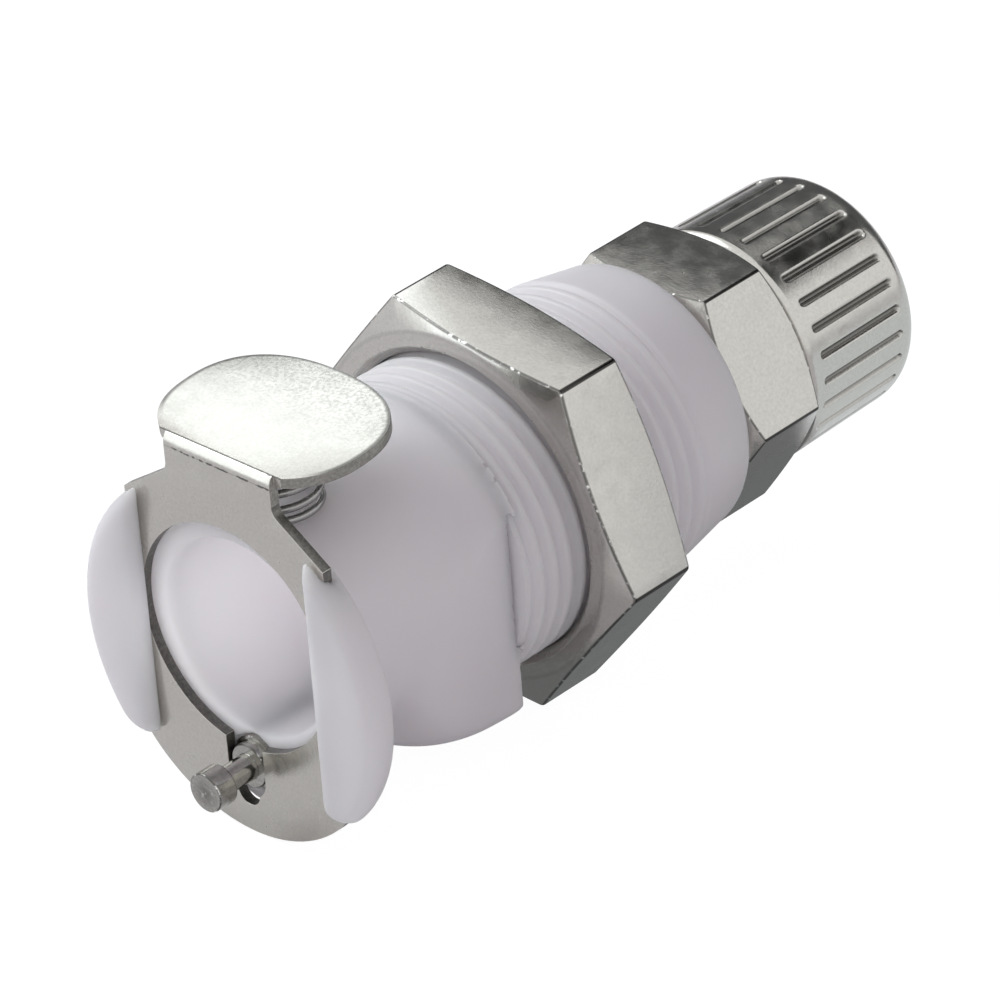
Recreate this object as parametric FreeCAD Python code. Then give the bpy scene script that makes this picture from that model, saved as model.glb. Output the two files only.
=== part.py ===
import FreeCAD, Part
import math
import os

# Panel-mount quick disconnect coupling body for flexible tube.
# Millimetres. The flow axis is Y, from the plug socket at the front (-Y) to the tube nut at the rear (+Y).
# The thumb pad is at +Z. The origin is on the flow axis, in the plane that seats on the panel.

Vector = FreeCAD.Vector
os.makedirs("parts", exist_ok=True)

# Plug socket, neck and latch wings of the moulded body
socket_radius = 6.9
socket_depth = 14.74
socket_lead_in = 0.35
neck_radius = 8.45
neck_flare_length = 7.6
body_face_y = -15.44
wing_radius = 13.1
wing_rear_radius = 12.5
wing_centre_z = -1.3
wing_bottom_z = -9.6
wing_depth = 2.7
wing_front_round = 1.0
wing_rear_round = 0.8
wing_corner_round = 2.2
wing_tip_round = 1.0
lip_thickness = 1.0
lip_gap = 14.8
fairing_reach = 3.2
fairing_top_z = 6.2
blend_sink = 0.3

# Panel flange: flats on both sides stop the body turning in its panel
flange_radius = 13.1
flange_across_flats = 18.0
flange_land = 1.9
keel_length = 6.9
keel_waist = 15.6
keel_flat_length = 4.5
keel_shoulder_drop = 2.6

# Threaded shank, as a plain bar at its thread's outside radius, and its plain tail
thread_radius = 10.6
thread_collar_radius = 10.05
thread_lead_in = 0.5
thread_length = 16.6
tail_length = 5.4
tail_radius = 9.65
tail_edge_round = 0.4
thread_clearance = 0.08

# Latch plate
plate_thickness = 0.76
plate_clearance = 0.08
plate_width = 17.5
plate_shoulder_z = 8.6
plate_bottom_radius = 11.5
plate_bottom_z = -13.95
window_rail = 0.7
window_centre_z = 0.5
neck_width = 9.3
neck_shoulder_z = 11.3
neck_fillet = 0.9
bend_start_z = 13.1
bend_rise = 0.8
bend_run = 0.42
pad_tilt_deg = 4.2
pad_half_width = 7.8
pad_half_depth = 6.0
pad_squareness = 2.35
pad_centre_y = -11.0
latch_rise = 1.8

# Lock pin
pin_axis_z = -9.2
pin_travel = 2.1
pin_head_radius = 1.38
pin_head_length = 1.55
pin_neck_radius = 0.9
pin_collar_radius = 1.55
pin_collar_length = 0.66
pin_shoulder_radius = 1.85
pin_shoulder_length = 5.44
pin_edge_round = 0.12
pin_clearance = 0.07
pin_boss_wall = 1.0
pin_bore_depth = 11.24

# Panel nut
nut_across_flats = 25.4
nut_corner_height = 5.15
nut_front_y = 4.6
nut_turn_deg = -8.5
nut_chamfer_deg = 15.0
nut_face_share = 0.97
nut_bore_chamfer = 0.6

# Tube adapter
adapter_across_flats = 17.46
adapter_hex_length = 7.2
adapter_turn_deg = -2.0
adapter_chamfer_deg = 30.0
adapter_face_share = 0.97
adapter_front_thread_radius = 6.4
adapter_front_thread_length = 7.5
adapter_rear_thread_radius = 6.6
adapter_rear_thread_length = 6.2
adapter_relief = 0.5
adapter_bore_radius = 2.4
nipple_tip_radius = 3.05
nipple_root_radius = 3.9
nipple_length = 5.2
spring_seat_radius = 4.7
spring_seat_depth = 1.0

# Compression nut
tube_radius = 4.76
tube_clearance = 0.09
tube_nut_inset = 0.13
tube_nut_taper = 0.18
tube_nut_length = 11.3
tube_nut_shoulder = 1.6
tube_nut_gap = 0.1
tube_nut_cone_length = 3.0
tube_nut_front_chamfer = 0.35
flute_count = 28
flute_width = 0.6
flute_depth = 0.34
flute_start = 1.3
flute_length = 8.1

# Shut-off valve
valve_seat_thickness = 2.5
valve_seat_hole_radius = 4.4
valve_chamber_radius = 6.3
valve_travel = 3.0
valve_seal_mean_radius = 4.9
valve_seal_cord_radius = 0.65
poppet_nose_radius = 3.2
poppet_nose_recess = 0.2
poppet_head_radius = 5.6
poppet_head_length = 1.9
poppet_stem_radius = 1.6
poppet_stem_length = 4.4
poppet_leg_count = 3
poppet_leg_width = 2.6
poppet_leg_thickness = 0.9
poppet_clearance = 0.08

# Adapter seal
adapter_seal_cord_radius = 0.6
seal_clearance = 0.03

# Coil springs
latch_spring_radius = 2.75
latch_spring_wire = 0.55
latch_spring_coils = 6
latch_spring_y = -11.3
latch_spring_pocket_z = 7.75
lock_spring_radius = 1.3
lock_spring_wire = 0.36
lock_spring_coils = 7
valve_spring_radius = 3.75
valve_spring_wire = 0.7
valve_spring_coils = 6
spring_end_gap = 0.03

# Working allowances: how far cutting shapes overshoot, how deep joined shapes overlap, how closely edges
# are matched, and how many steps stand for a quarter of a curve
overshoot = 1.0
overlap = 1.0
match = 1e-3
curve_steps = 8

# Places worked out from the sizes above
slot_rear_y = body_face_y
plate_rear_y = slot_rear_y - plate_clearance
plate_front_y = plate_rear_y - plate_thickness
slot_front_y = plate_front_y - plate_clearance
lip_front_y = slot_front_y - lip_thickness
wing_rear_y = lip_front_y + wing_depth
socket_end_y = body_face_y + socket_depth
chamber_start_y = socket_end_y + valve_seat_thickness
shank_end_y = thread_length + tail_length
adapter_front_y = shank_end_y - adapter_front_thread_length
hex_end_y = shank_end_y + adapter_hex_length
tube_nut_radius = adapter_across_flats / 2 - tube_nut_inset
tube_nut_end_radius = tube_nut_radius - tube_nut_taper
pin_bore_end_y = body_face_y + pin_bore_depth
pin_shoulder_front_y = slot_rear_y
pin_collar_front_y = pin_shoulder_front_y - pin_collar_length
pin_neck_front_y = plate_front_y - pin_clearance - pin_travel
pin_rear_y = pin_shoulder_front_y + pin_shoulder_length
valve_seal_y = chamber_start_y + seal_clearance + valve_seal_cord_radius
poppet_land_radius = valve_seal_mean_radius - valve_seal_cord_radius - seal_clearance
poppet_head_y = valve_seal_y + valve_seal_cord_radius + seal_clearance
poppet_head_end_y = poppet_head_y + poppet_head_length
poppet_guide_radius = valve_chamber_radius - poppet_clearance
poppet_leg_end_y = adapter_front_y - poppet_clearance - valve_travel
window_radius = plate_width / 2 - window_rail
pad_slope = math.tan(math.radians(pad_tilt_deg))
pad_start_y = plate_front_y + bend_run
pad_start_z = bend_start_z + bend_rise
spring_front_y = latch_spring_y - latch_spring_radius - latch_spring_wire / 2
pad_under_z = pad_start_z + (spring_front_y - pad_start_y) * pad_slope - plate_thickness


def box(x_low, x_high, y_low, y_high, z_low, z_high):
    # A block between two opposite corners.
    corner = Vector(x_low, y_low, z_low)
    return Part.makeBox(x_high - x_low, y_high - y_low, z_high - z_low, corner)


def rod(radius, y_low, y_high, z=0.0, x=0.0):
    # A round bar along Y.
    return Part.makeCylinder(radius, y_high - y_low, Vector(x, y_low, z), Vector(0, 1, 0))


def outline(runs):
    # A closed wire through the runs in order. A run of one point is a corner, a longer run a smooth curve.
    edges = []
    last = runs[-1][-1]
    for run in runs:
        if last.distanceToPoint(run[0]) > match:
            edges.append(Part.makeLine(last, run[0]))
        if len(run) > 1:
            curve = Part.BSplineCurve()
            curve.interpolate(run)
            edges.append(curve.toShape())
        last = run[-1]
    return Part.Wire(edges)


def turned(profile):
    # A solid of revolution about the flow axis, from (radius, y) points in order. A list of such points
    # among them is a smooth curve.
    runs = [item if isinstance(item, list) else [item] for item in profile]
    runs = [[Vector(radius, y, 0) for radius, y in run] for run in runs]
    return Part.Face(outline(runs)).revolve(Vector(0, 0, 0), Vector(0, 1, 0), 360)


def arc_points(centre, radii, start_deg, end_deg):
    # Points along an elliptic arc, as (first, second) pairs.
    step = (end_deg - start_deg) / curve_steps
    angles = [math.radians(start_deg + step * i) for i in range(curve_steps + 1)]
    return [(centre[0] + radii[0] * math.cos(a), centre[1] + radii[1] * math.sin(a)) for a in angles]


def hexagon(across_flats, y_low, y_high, turn_deg, chamfer_deg, face_share):
    # A hex bar along Y with both ends chamfered to a cone, down to a round face.
    corner = across_flats / math.sqrt(3)
    angles = [math.radians(60 * i + turn_deg) for i in range(7)]
    points = [Vector(corner * math.cos(a), y_low, corner * math.sin(a)) for a in angles]
    bar = Part.Face(Part.makePolygon(points)).extrude(Vector(0, y_high - y_low, 0))
    face_radius = across_flats / 2 * face_share
    set_back = (corner - face_radius) * math.tan(math.radians(chamfer_deg))
    envelope = turned([
        (0, y_low), (face_radius, y_low), (corner, y_low + set_back),
        (corner, y_high - set_back), (face_radius, y_high), (0, y_high),
    ])
    return bar.common(envelope)


def coil(mean_radius, wire_diameter, coils, low, high):
    # A compression spring along Z: flat half turns joined by sloping ones, with both ends flat.
    bottom = low + wire_diameter / 2 + spring_end_gap
    rise = (high - low - wire_diameter - 2 * spring_end_gap) / coils
    slope_radius = math.hypot(mean_radius, rise / 2)
    start = Vector(mean_radius, 0, bottom)
    turns = []
    for i in range(coils + 1):
        left = Vector(-mean_radius, 0, start.z)
        turns.append(Part.Arc(start, Vector(0, mean_radius, start.z), left).toShape())
        if i < coils:
            upper = Vector(mean_radius, 0, start.z + rise)
            turns.append(Part.Arc(left, Vector(0, -slope_radius, start.z + rise / 2), upper).toShape())
            start = upper
    section = Part.Wire(Part.makeCircle(wire_diameter / 2, turns[0].Vertexes[0].Point, Vector(0, 1, 0)))
    return Part.Wire(turns).makePipeShell([section], True, False)


def coil_along_y(mean_radius, wire_diameter, coils, y_low, y_high, z):
    # The same spring with its axis along Y.
    spring = coil(mean_radius, wire_diameter, coils, y_low, y_high)
    spring.rotate(Vector(0, 0, 0), Vector(1, 0, 0), -90)
    spring.translate(Vector(0, 0, z))
    return spring


def neck_and_shank():
    # Neck behind the latch, its flare up to the collar, the threaded shank and the tapered tail.
    flare_height = thread_collar_radius - neck_radius
    flare = arc_points((thread_collar_radius, -flange_land - neck_flare_length),
                       (-flare_height, neck_flare_length), 0, 90)
    return turned([
        (0, body_face_y), (neck_radius, body_face_y), flare,
        (thread_collar_radius, -thread_lead_in), (thread_radius, 0), (thread_radius, thread_length),
        (tail_radius, shank_end_y - tail_edge_round), (tail_radius - tail_edge_round, shank_end_y),
        (0, shank_end_y),
    ])


def wing(side):
    # One latch wing: a segment of a tapered disc beyond the lip, with soft moulded edges.
    disc = Part.makeCone(wing_radius, wing_rear_radius, wing_depth, Vector(0, lip_front_y, wing_centre_z),
                         Vector(0, 1, 0))
    inner_x = lip_gap / 2
    keep = box(inner_x, wing_radius, lip_front_y, wing_rear_y, wing_bottom_z, wing_radius)
    segment = disc.common(keep)
    across = [e for e in segment.Edges if e.BoundBox.YLength > wing_depth / 2]
    outer = [e for e in across if e.CenterOfMass.z < 0 and e.CenterOfMass.x > inner_x + match]
    segment = segment.makeFillet(wing_corner_round, outer)
    tips = [e for e in segment.Edges if is_along_y(e) and abs(e.CenterOfMass.x - inner_x) < match]
    segment = segment.makeFillet(wing_tip_round, tips)
    segment = segment.makeFillet(wing_front_round, rim_edges(segment, lip_front_y, inner_x))
    segment = segment.makeFillet(wing_rear_round, rim_edges(segment, wing_rear_y, inner_x))
    if side < 0:
        segment = segment.mirror(Vector(0, 0, 0), Vector(1, 0, 0))
    return segment


def is_along_y(edge):
    # True for a straight edge parallel to the flow axis.
    first, last = edge.Vertexes[0].Point, edge.Vertexes[-1].Point
    return abs(first.x - last.x) < match and abs(first.z - last.z) < match


def rim_edges(solid, y, inner_x):
    # The outer edges of a wing that lie in the plane y, apart from its lip edge.
    rim = [e for e in solid.Edges if abs(e.BoundBox.YMin - y) < match and abs(e.BoundBox.YMax - y) < match]
    return [e for e in rim if e.BoundBox.XMax > inner_x + match]


def wing_fairings():
    # The concave web that carries the wings from the neck.
    root_radius = neck_radius - blend_sink
    reach = root_radius + fairing_reach
    rear_y = wing_rear_y - wing_rear_round + fairing_reach
    flare = arc_points((reach, rear_y), (-fairing_reach, -fairing_reach), 90, 0)
    web = turned([
        (root_radius - overlap, body_face_y), (reach, body_face_y), flare, (root_radius - overlap, rear_y),
    ])
    width = reach + overshoot
    return web.common(box(-width, width, body_face_y, rear_y + overshoot, wing_bottom_z, fairing_top_z))


def panel_flange():
    # The flange that seats on the panel. It hangs below the axis between two flats, and runs forward as a
    # keel that narrows into the neck.
    root_radius = neck_radius - blend_sink
    front_y = -flange_land - keel_length
    taper = arc_points((root_radius, -flange_land), (flange_radius - root_radius, -keel_length), 90, 0)
    inner_radius = root_radius - overlap
    disc = turned([(inner_radius, front_y), taper, (flange_radius, 0), (inner_radius, 0)])
    return disc.common(flange_sides(front_y))


def flange_sides(front_y):
    # A block as wide as the flats at the panel and narrower at the waist, with a top that slopes forward.
    half = flange_across_flats / 2
    waist_half = keel_waist / 2
    low = -flange_radius - overshoot
    ends_y = front_y - overshoot
    side = arc_points((waist_half, -keel_flat_length), (half - waist_half, front_y + keel_flat_length), 0, 90)
    right = [Vector(x, y, low) for x, y in side]
    left = [Vector(-point.x, point.y, low) for point in right[::-1]]
    corners = [Vector(half, overshoot, low), Vector(waist_half, ends_y, low),
               Vector(-waist_half, ends_y, low), Vector(-half, overshoot, low)]
    plan = outline([[corners[0]], right, [corners[1]], [corners[2]], left, [corners[3]]])
    block = Part.Face(plan).extrude(Vector(0, 0, flange_radius - low))
    top = math.sqrt(thread_collar_radius ** 2 - half ** 2)
    slope = keel_shoulder_drop / front_y
    rear_z = top + slope * -overshoot
    front_z = top - slope * ends_y
    edge = [Vector(low, overshoot, rear_z), Vector(low, ends_y, front_z),
            Vector(low, ends_y, flange_radius + overshoot), Vector(low, overshoot, flange_radius + overshoot)]
    above = Part.Face(Part.makePolygon(edge + [edge[0]])).extrude(Vector(-2 * low, 0, 0))
    return block.cut(above)


def body():
    # The acetal moulding: wings, neck, flange and shank, with its bores and the latch slot.
    solid = neck_and_shank()
    boss_radius = pin_shoulder_radius + pin_clearance + pin_boss_wall
    solid = solid.fuse([
        wing(1), wing(-1), wing_fairings(), panel_flange(),
        rod(boss_radius, body_face_y, pin_bore_end_y + pin_boss_wall, pin_axis_z),
    ])
    slot_half = plate_width / 2 + plate_clearance
    slot = box(-slot_half, slot_half, slot_front_y, slot_rear_y, -wing_radius * 2, wing_radius * 2)
    solid = solid.cut(slot)
    bores = turned([
        (0, body_face_y), (socket_radius + socket_lead_in, body_face_y),
        (socket_radius, body_face_y + socket_lead_in), (socket_radius, socket_end_y),
        (valve_seat_hole_radius, socket_end_y), (valve_seat_hole_radius, chamber_start_y),
        (valve_chamber_radius, chamber_start_y), (valve_chamber_radius, adapter_front_y - adapter_relief),
        (adapter_front_thread_radius + seal_clearance, adapter_front_y - adapter_relief),
        (adapter_front_thread_radius + seal_clearance, shank_end_y - 2 * adapter_seal_cord_radius),
        (seal_groove_radius(), shank_end_y - 2 * adapter_seal_cord_radius),
        (seal_groove_radius(), shank_end_y), (0, shank_end_y),
    ])
    solid = solid.cut(bores)
    pin_bore = rod(pin_shoulder_radius + pin_clearance, body_face_y, pin_bore_end_y, pin_axis_z)
    solid = solid.cut(pin_bore)
    pocket_radius = latch_spring_radius + latch_spring_wire / 2 + plate_clearance
    pocket = Part.makeCylinder(pocket_radius, neck_radius, Vector(0, latch_spring_y, latch_spring_pocket_z))
    return solid.cut(pocket)


def seal_groove_radius():
    # Radius of the recess round the adapter's O-ring.
    return adapter_front_thread_radius + 2 * (adapter_seal_cord_radius + seal_clearance)


def keyhole():
    # The slot below the window. Its wide part passes the pin's collar, its narrow end only the neck.
    blocked_travel = pin_collar_length - plate_clearance + pin_clearance
    free_drop = latch_rise * blocked_travel / pin_travel
    wide = pin_collar_radius + pin_clearance
    narrow = pin_neck_radius + pin_clearance
    y_low, y_high = plate_front_y - overshoot, plate_rear_y + overshoot
    wide_end = pin_axis_z - free_drop
    narrow_end = pin_axis_z - latch_rise
    window_bottom = window_centre_z - window_radius
    slot = box(-wide, wide, y_low, y_high, wide_end, window_bottom + overshoot)
    slot = slot.fuse(rod(wide, y_low, y_high, wide_end))
    slot = slot.fuse(box(-narrow, narrow, y_low, y_high, narrow_end, wide_end))
    return slot.fuse(rod(narrow, y_low, y_high, narrow_end))


def latch_plate_outline():
    # The flat blank in the XZ plane: round bottom, straight sides, sloping shoulders, narrow neck.
    half = plate_width / 2
    half_neck = neck_width / 2
    centre_z = plate_bottom_z + plate_bottom_radius
    side_z = centre_z - math.sqrt(plate_bottom_radius ** 2 - half ** 2)
    y = plate_front_y
    right = [Vector(half, y, side_z), Vector(half, y, plate_shoulder_z),
             Vector(half_neck, y, neck_shoulder_z), Vector(half_neck, y, bend_start_z)]
    left = [Vector(-point.x, point.y, point.z) for point in right[::-1]]
    sides = Part.makePolygon(right + left)
    bottom = Part.Arc(left[-1], Vector(0, y, plate_bottom_z), right[0]).toShape()
    return Part.Face(Part.Wire(sides.Edges + [bottom]))


def latch_bend():
    # The bend at the top of the plate, as a section in the YZ plane carried along X. It reaches a little into
    # the pad, and meets it in a crease.
    half_neck = neck_width / 2
    tilt = math.radians(pad_tilt_deg)
    bend = arc_points((pad_start_y, bend_start_z), (-bend_run, bend_rise), 0, 90)
    far_y = pad_start_y + overlap
    far_z = pad_start_z + overlap * pad_slope
    drop_z = plate_thickness / math.cos(tilt)
    under_z = pad_start_z + (plate_rear_y - pad_start_y) * pad_slope - drop_z
    section = outline([
        [Vector(-half_neck, y, z) for y, z in bend],
        [Vector(-half_neck, far_y, far_z)], [Vector(-half_neck, far_y, far_z - drop_z)],
        [Vector(-half_neck, plate_rear_y, under_z)], [Vector(-half_neck, plate_rear_y, bend_start_z)],
    ])
    return Part.Face(section).extrude(Vector(neck_width, 0, 0))


def thumb_pad():
    # The oval pad, made level and then tilted about the crease, where its front is cut straight.
    quarter = [math.radians(90 * i / curve_steps) for i in range(curve_steps + 1)]
    power = 2 / pad_squareness
    corner = [(pad_half_width * math.cos(a) ** power, pad_half_depth * math.sin(a) ** power) for a in quarter]
    low = pad_start_z - plate_thickness
    right = [(x, -y) for x, y in corner[:0:-1]] + corner
    right = [Vector(x, pad_centre_y + y, low) for x, y in right]
    left = [Vector(-point.x, point.y, point.z) for point in right[::-1]]
    pad = Part.Face(outline([right, left])).extrude(Vector(0, 0, plate_thickness))
    front = box(-pad_half_width, pad_half_width, pad_start_y - pad_half_depth, pad_start_y,
                low - overshoot, pad_start_z + overshoot)
    pad = pad.cut(front)
    pad.rotate(Vector(0, pad_start_y, pad_start_z), Vector(1, 0, 0), pad_tilt_deg)
    return pad


def thumb_latch():
    # One stamped plate: window and keyhole below, bent back over the body as an oval thumb pad.
    plate = latch_plate_outline().extrude(Vector(0, plate_thickness, 0))
    corners = [e for e in plate.Edges if is_along_y(e) and abs(e.CenterOfMass.z - neck_shoulder_z) < match]
    plate = plate.makeFillet(neck_fillet, corners)
    window = rod(window_radius, plate_front_y - overshoot, plate_rear_y + overshoot, window_centre_z)
    plate = plate.cut(window)
    plate = plate.cut(keyhole())
    return plate.fuse([latch_bend(), thumb_pad()]).removeSplitter()


def lock_pin():
    # Turned pin: head in front of the plate, neck, collar in the keyhole, and a shoulder in the body's bore.
    head_front_y = pin_neck_front_y - pin_head_length
    pin = turned([
        (0, head_front_y), (pin_head_radius - pin_edge_round, head_front_y),
        (pin_head_radius, head_front_y + pin_edge_round), (pin_head_radius, pin_neck_front_y),
        (pin_neck_radius, pin_neck_front_y), (pin_neck_radius, pin_collar_front_y),
        (pin_collar_radius - pin_edge_round, pin_collar_front_y),
        (pin_collar_radius, pin_collar_front_y + pin_edge_round), (pin_collar_radius, pin_shoulder_front_y),
        (pin_shoulder_radius, pin_shoulder_front_y), (pin_shoulder_radius, pin_rear_y), (0, pin_rear_y),
    ])
    pin.translate(Vector(0, 0, pin_axis_z))
    return pin


def panel_nut():
    # Hex nut that clamps the panel against the flange.
    corner = nut_across_flats / math.sqrt(3)
    set_back = (corner - nut_across_flats / 2 * nut_face_share) * math.tan(math.radians(nut_chamfer_deg))
    rear_y = nut_front_y + nut_corner_height + 2 * set_back
    nut = hexagon(nut_across_flats, nut_front_y, rear_y, nut_turn_deg, nut_chamfer_deg, nut_face_share)
    bore = thread_radius + thread_clearance
    wide = bore + nut_bore_chamfer
    return nut.cut(turned([
        (0, nut_front_y), (wide, nut_front_y), (bore, nut_front_y + nut_bore_chamfer),
        (bore, rear_y - nut_bore_chamfer), (wide, rear_y), (0, rear_y),
    ]))


def tube_adapter():
    # Brass fitting: front thread in the body, hex, rear thread for the nut, and the tapered tube nipple.
    hexagon_part = hexagon(adapter_across_flats, shank_end_y, hex_end_y, adapter_turn_deg,
                           adapter_chamfer_deg, adapter_face_share)
    rear_end_y = hex_end_y + adapter_rear_thread_length
    spigots = turned([
        (0, adapter_front_y), (adapter_front_thread_radius - adapter_relief, adapter_front_y),
        (adapter_front_thread_radius, adapter_front_y + adapter_relief),
        (adapter_front_thread_radius, shank_end_y), (adapter_front_thread_radius, hex_end_y),
        (adapter_rear_thread_radius, hex_end_y), (adapter_rear_thread_radius, rear_end_y - adapter_relief),
        (adapter_rear_thread_radius - adapter_relief, rear_end_y), (nipple_root_radius, rear_end_y),
        (nipple_tip_radius, rear_end_y + nipple_length), (0, rear_end_y + nipple_length),
    ])
    passage = turned([
        (0, adapter_front_y), (spring_seat_radius, adapter_front_y),
        (spring_seat_radius, adapter_front_y + spring_seat_depth),
        (adapter_bore_radius, adapter_front_y + spring_seat_depth),
        (adapter_bore_radius, rear_end_y + nipple_length), (0, rear_end_y + nipple_length),
    ])
    return hexagon_part.fuse(spigots).cut(passage).removeSplitter()


def compression_nut():
    # Fluted nut: plain collar, flutes, and a rounded shoulder round the tube hole.
    front_y = hex_end_y + tube_nut_gap
    rear_y = front_y + tube_nut_length
    shoulder = arc_points((tube_nut_end_radius - tube_nut_shoulder, rear_y - tube_nut_shoulder),
                          (tube_nut_shoulder, tube_nut_shoulder), 0, 90)
    thread_bore = adapter_rear_thread_radius + thread_clearance
    hole = tube_radius + tube_clearance
    cone_start_y = hex_end_y + adapter_rear_thread_length + tube_nut_gap
    profile = [(thread_bore, front_y), (tube_nut_radius - tube_nut_front_chamfer, front_y),
               (tube_nut_radius, front_y + tube_nut_front_chamfer), shoulder,
               (hole, rear_y), (hole, cone_start_y + tube_nut_cone_length), (thread_bore, cone_start_y)]
    nut = turned(profile)
    flute_front_y = front_y + flute_start
    flutes = []
    for i in range(flute_count):
        flute = box(tube_nut_end_radius - flute_depth, tube_nut_radius + overshoot,
                    flute_front_y, flute_front_y + flute_length, -flute_width / 2, flute_width / 2)
        flute.rotate(Vector(0, 0, 0), Vector(0, 1, 0), 360 * i / flute_count)
        flutes.append(flute)
    return nut.cut(flutes)


def valve_poppet():
    # Poppet: nose in the seat, land under the O-ring, head, stem inside the spring, and guide legs that
    # stop on the adapter.
    nose_y = socket_end_y + poppet_nose_recess
    poppet = turned([
        (0, nose_y), (poppet_nose_radius, nose_y), (poppet_nose_radius, chamber_start_y + seal_clearance),
        (poppet_land_radius, chamber_start_y + seal_clearance), (poppet_land_radius, poppet_head_y),
        (poppet_head_radius, poppet_head_y), (poppet_head_radius, poppet_head_end_y),
        (poppet_stem_radius, poppet_head_end_y), (poppet_stem_radius, poppet_head_end_y + poppet_stem_length),
        (0, poppet_head_end_y + poppet_stem_length),
    ])
    shell = rod(poppet_guide_radius, poppet_head_y, poppet_leg_end_y)
    shell = shell.cut(rod(poppet_guide_radius - poppet_leg_thickness, poppet_head_y, poppet_leg_end_y))
    for i in range(poppet_leg_count):
        leg = box(0, poppet_guide_radius, poppet_head_y, poppet_leg_end_y,
                  -poppet_leg_width / 2, poppet_leg_width / 2)
        leg.rotate(Vector(0, 0, 0), Vector(0, 1, 0), 360 * i / poppet_leg_count)
        poppet = poppet.fuse(shell.common(leg))
    return poppet.removeSplitter()


def ring_seal(mean_radius, cord_radius, y):
    # An O-ring round the flow axis.
    return Part.makeTorus(mean_radius, cord_radius, Vector(0, y, 0), Vector(0, 1, 0))


def latch_spring():
    # Pushes the thumb pad up.
    spring = coil(latch_spring_radius, latch_spring_wire, latch_spring_coils,
                  latch_spring_pocket_z, pad_under_z)
    spring.translate(Vector(0, latch_spring_y, 0))
    return spring


def lock_pin_spring():
    # Pushes the lock pin forward.
    return coil_along_y(lock_spring_radius, lock_spring_wire, lock_spring_coils,
                        pin_rear_y, pin_bore_end_y, pin_axis_z)


def valve_spring():
    # Closes the poppet.
    return coil_along_y(valve_spring_radius, valve_spring_wire, valve_spring_coils,
                        poppet_head_end_y, adapter_front_y + spring_seat_depth, 0)


def adapter_seal():
    # Seals the adapter's thread in the rear of the body.
    mean = adapter_front_thread_radius + adapter_seal_cord_radius + seal_clearance
    return ring_seal(mean, adapter_seal_cord_radius, shank_end_y - adapter_seal_cord_radius)


pieces = {
    "body": body(),
    "thumb_latch": thumb_latch(),
    "latch_spring": latch_spring(),
    "lock_pin": lock_pin(),
    "lock_pin_spring": lock_pin_spring(),
    "panel_nut": panel_nut(),
    "valve_poppet": valve_poppet(),
    "valve_seal": ring_seal(valve_seal_mean_radius, valve_seal_cord_radius, valve_seal_y),
    "valve_spring": valve_spring(),
    "tube_adapter": tube_adapter(),
    "adapter_seal": adapter_seal(),
    "compression_nut": compression_nut(),
}

for name, shape in pieces.items():
    shape.exportStep("parts/" + name + ".step")
    print(name, "valid", shape.isValid(), "solids", len(shape.Solids), "volume", round(shape.Volume, 2))
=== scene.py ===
# Panel-mount quick disconnect coupling: the finish of its pieces, the light and the camera.
import bmesh
import bpy
import math
import numpy as np
from mathutils import Matrix, Vector


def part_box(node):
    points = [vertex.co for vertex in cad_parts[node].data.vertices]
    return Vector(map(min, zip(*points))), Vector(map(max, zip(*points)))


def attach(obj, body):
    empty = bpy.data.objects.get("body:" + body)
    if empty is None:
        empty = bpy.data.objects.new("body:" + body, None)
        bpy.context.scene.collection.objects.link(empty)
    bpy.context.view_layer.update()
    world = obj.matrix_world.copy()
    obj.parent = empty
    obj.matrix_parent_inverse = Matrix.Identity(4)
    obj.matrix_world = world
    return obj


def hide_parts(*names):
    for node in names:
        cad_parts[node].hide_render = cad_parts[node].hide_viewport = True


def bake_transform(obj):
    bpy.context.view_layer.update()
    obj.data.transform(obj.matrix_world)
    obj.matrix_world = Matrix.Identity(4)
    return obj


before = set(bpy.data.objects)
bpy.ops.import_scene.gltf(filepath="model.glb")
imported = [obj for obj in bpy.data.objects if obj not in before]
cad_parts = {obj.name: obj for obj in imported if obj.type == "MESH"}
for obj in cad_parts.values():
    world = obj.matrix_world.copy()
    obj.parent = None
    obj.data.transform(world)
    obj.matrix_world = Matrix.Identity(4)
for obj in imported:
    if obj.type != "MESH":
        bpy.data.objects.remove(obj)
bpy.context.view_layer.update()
# Sizes and places are in millimetres, and in metres where they are times mm. Angles are in degrees.
mm = 0.001
print("frame loaded:", len(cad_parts), "nodes")


# Meshes: shared ways to make and finish a surface

def gridPiece(name, points, aroundClosed=True, alongClosed=False, masks=None):
    # A surface through a grid of points: cell (i, j) is the quad i, i+1 by j, j+1. Closed directions wrap.
    # masks are named values from 0 to 1 on the points, for the materials.
    along, around = points.shape[:2]
    index = np.arange(along * around).reshape(along, around)
    if aroundClosed:
        index = np.concatenate([index, index[:, :1]], axis=1)
    if alongClosed:
        index = np.concatenate([index, index[:1]], axis=0)
    quads = np.stack([index[:-1, :-1], index[:-1, 1:], index[1:, 1:], index[1:, :-1]], axis=-1).reshape(-1, 4)
    mesh = bpy.data.meshes.new(name)
    mesh.vertices.add(along * around)
    mesh.vertices.foreach_set("co", (points.reshape(-1, 3) * mm).astype(np.float32).ravel())
    mesh.loops.add(quads.size)
    mesh.loops.foreach_set("vertex_index", quads.astype(np.int32).ravel())
    mesh.polygons.add(len(quads))
    mesh.polygons.foreach_set("loop_start", np.arange(0, quads.size, 4, dtype=np.int32))
    mesh.update(calc_edges=True)
    for label, values in (masks or {}).items():
        layer = mesh.attributes.new(label, "FLOAT", "POINT")
        layer.data.foreach_set("value", values.astype(np.float32).ravel())
    return pieceFrom(name, mesh)


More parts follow.
